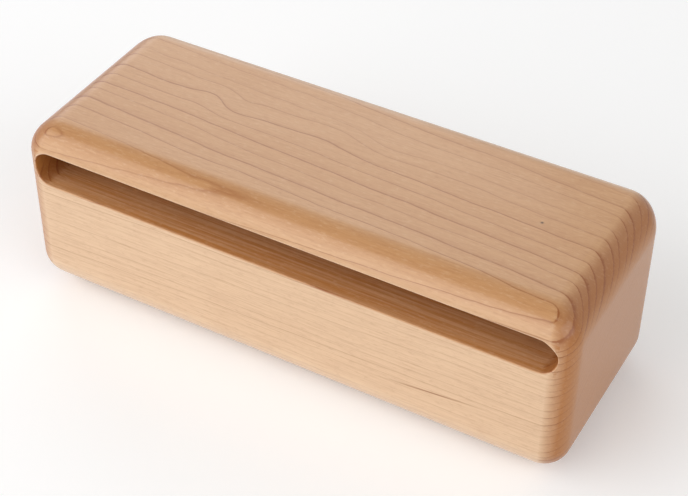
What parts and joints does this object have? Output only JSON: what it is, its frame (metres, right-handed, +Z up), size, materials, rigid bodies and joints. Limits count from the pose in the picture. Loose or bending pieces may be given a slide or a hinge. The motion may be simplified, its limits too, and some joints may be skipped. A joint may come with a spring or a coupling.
{
  "type": "wood block",
  "caption": "Rounded maple wood block with a long blind sound slot under its top plate, standing on small rubber feet.",
  "frame": {"origin": "on the table, under the middle of the block", "axes": "+X along the block, -Y out of the slotted front face, +Z up"},
  "size_m": [0.2, 0.075, 0.0678],
  "materials": {
    "lacquered_maple": "clear gloss lacquer",
    "foot_rubber": "matt"
  },
  "bodies": {
    "root": {"block_body": "lacquered_maple", "foot_front_left": "foot_rubber", "foot_front_right": "foot_rubber", "foot_rear_left": "foot_rubber", "foot_rear_right": "foot_rubber"}
  },
  "joints": []
}
